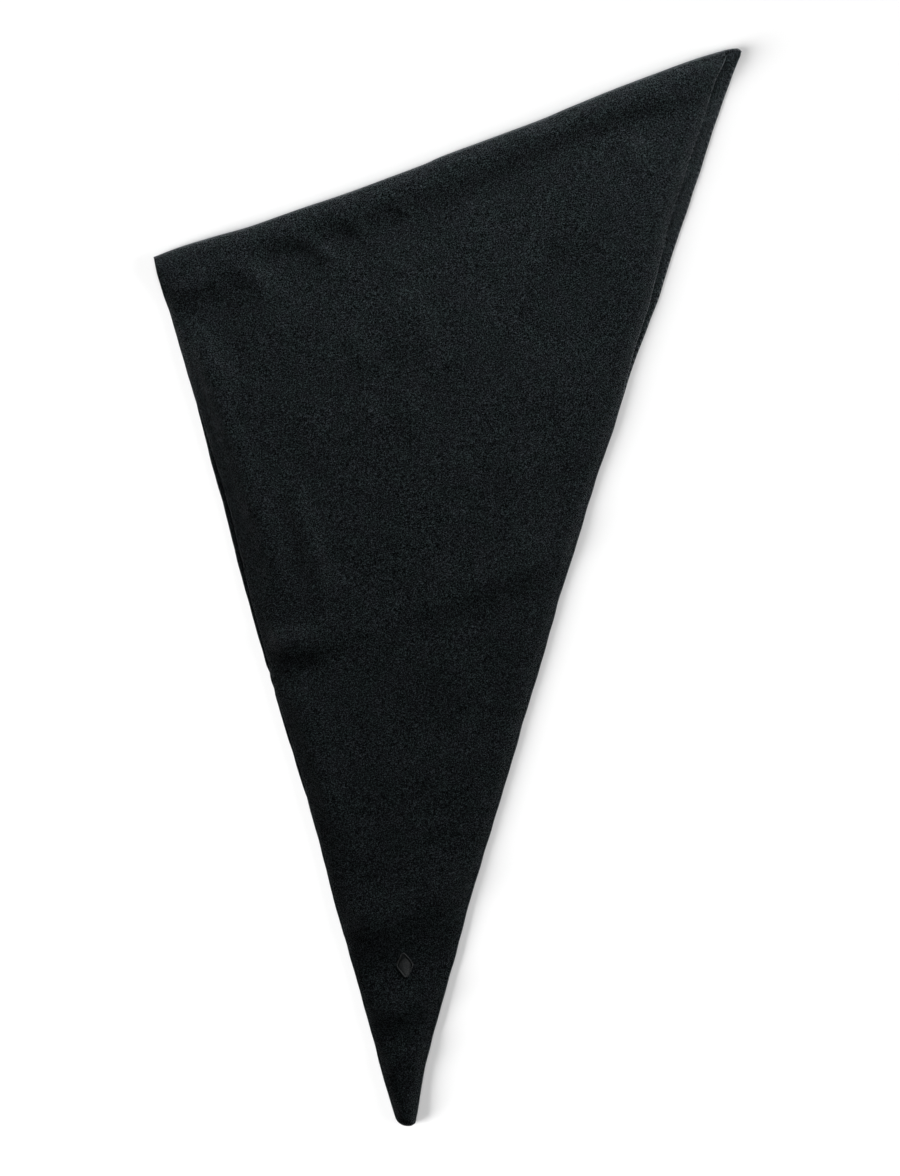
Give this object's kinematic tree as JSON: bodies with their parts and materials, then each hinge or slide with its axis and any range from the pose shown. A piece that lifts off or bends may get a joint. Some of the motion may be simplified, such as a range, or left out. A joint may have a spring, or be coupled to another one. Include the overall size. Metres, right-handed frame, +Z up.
{
  "type": "folded triangular knitted scarf",
  "caption": "Triangular scarf of thick brushed knit, folded once in half into a soft roll and laid flat, with its edges slightly out of line.",
  "frame": {"origin": "on the surface that the scarf lies on, under the middle of its outline", "axes": "+Z up; the rolled fold runs along X with the triangle's apex at its +X end; the doubled long edge runs down -Y to the two tips, which lie on each other"},
  "size_m": [0.5451, 0.7296, 0.0094],
  "materials": {
    "brushed_knit": "matte brushed nap, near black",
    "satin_thread": "satin embroidery thread, near black"
  },
  "bodies": {
    "root": {"scarf_panel": "brushed_knit", "tip_emblem": "satin_thread"}
  },
  "joints": []
}
